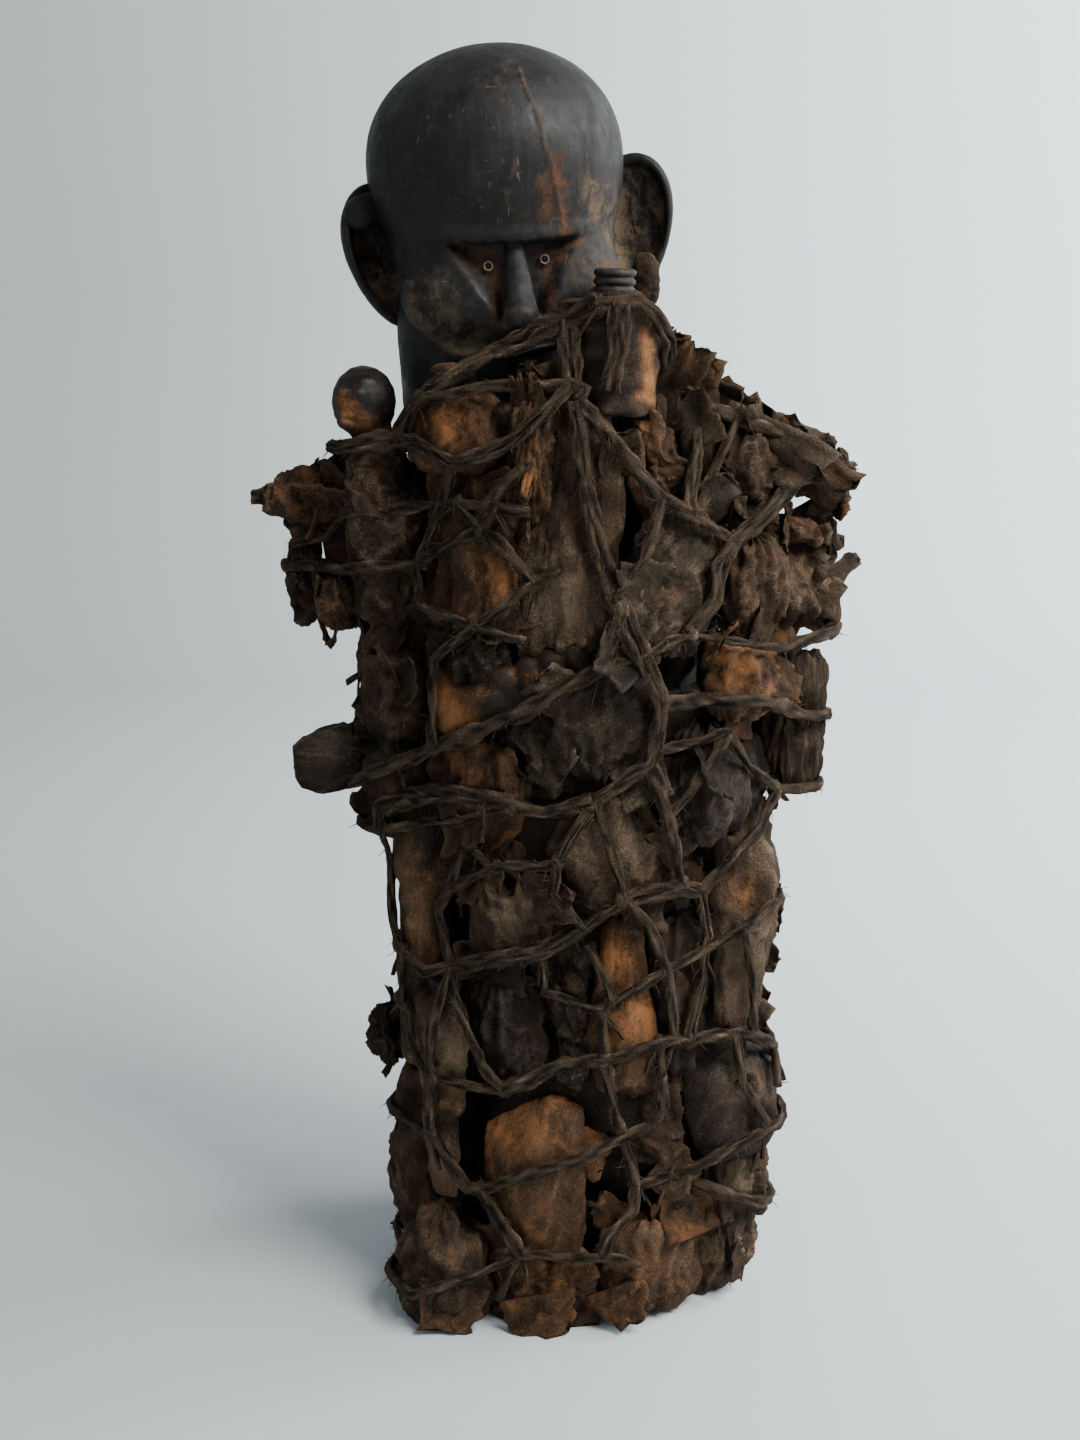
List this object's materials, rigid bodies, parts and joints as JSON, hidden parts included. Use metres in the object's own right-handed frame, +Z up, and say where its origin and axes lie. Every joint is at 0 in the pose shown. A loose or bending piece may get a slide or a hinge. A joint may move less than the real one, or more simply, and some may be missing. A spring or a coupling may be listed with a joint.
{
  "type": "nkisi power figure",
  "caption": "Standing ritual power figure: a carved, polished wooden head above a body wrapped in hide packets, gourds and bundles, held by a net of knotted leather thongs.",
  "frame": {"origin": "on the flat underside of the base, below the axis of the carved body", "axes": "+Z up; the figure faces -Y; +X is its own left, the right of someone who faces it"},
  "size_m": [0.4481, 0.2952, 0.9311],
  "materials": {
    "carved_wood": "dark, hand-polished, worn brown in places",
    "eye_ring": "dull, tarnished",
    "thong": "twisted, fibrous, dusty grey-brown",
    "cap": "grimy dark brown",
    "bottle": "opaque with brown crust",
    "small_figure_wood": "dark, worn, orange-red on the face",
    "leather": "hard, dusty, cracked",
    "red_hide": "red-brown, dusty",
    "grey_hide": "grey, stiff, dry",
    "bark": "fibrous, matted",
    "gourd": "tan, worn smooth",
    "dark_cloth": "black-brown, crusted"
  },
  "bodies": {
    "root": {"eye_stud_right": "eye_ring", "eye_stud_left": "eye_ring", "carved_figure": "carved_wood", "thong_net": "thong", "bottle_cap": "cap", "shoulder_bottle": "bottle", "small_figure": "small_figure_wood", "tan_pouch": "gourd", "frayed_roll": "red_hide", "breast_slab": "leather", "collar_hide": "red_hide", "holed_hide": "leather", "shell_pouch": "leather", "roof_hide": "grey_hide", "right_tabs": "leather", "rough_slab": "grey_hide", "flank_shell": "leather", "flank_flap": "leather", "brow_hide": "red_hide", "orange_block": "gourd", "bark_strip": "bark", "dark_bag": "dark_cloth", "folded_bag": "grey_hide", "belly_pillow": "leather", "scallop_hide": "leather", "inner_right": "dark_cloth", "dark_gourd": "dark_cloth", "ribbed_bark": "bark", "foot_flap": "leather", "low_hide": "leather", "pointed_hide": "red_hide", "left_strips": "bark", "left_block": "red_hide", "hairy_bundle": "bark", "coiled_roll": "leather", "horn_stub": "dark_cloth", "belly_block": "red_hide", "dark_bundle": "dark_cloth", "jaw_hide": "grey_hide", "orange_pouch": "red_hide", "clay_pouch": "leather", "long_gourd": "gourd", "pale_strip": "grey_hide", "black_shell": "dark_cloth", "flat_packet": "dark_cloth", "wrapped_horn": "leather", "left_lump": "dark_cloth", "left_fringe": "bark", "tan_gourd": "gourd", "foot_bag": "leather", "toe_bundle": "leather", "cut_roll": "grey_hide", "back_packet_1": "bark", "back_packet_2": "bark", "back_packet_3": "leather", "back_packet_4": "leather", "back_packet_5": "bark", "back_packet_6": "bark", "back_packet_7": "leather", "back_packet_8": "leather"}
  },
  "joints": []
}
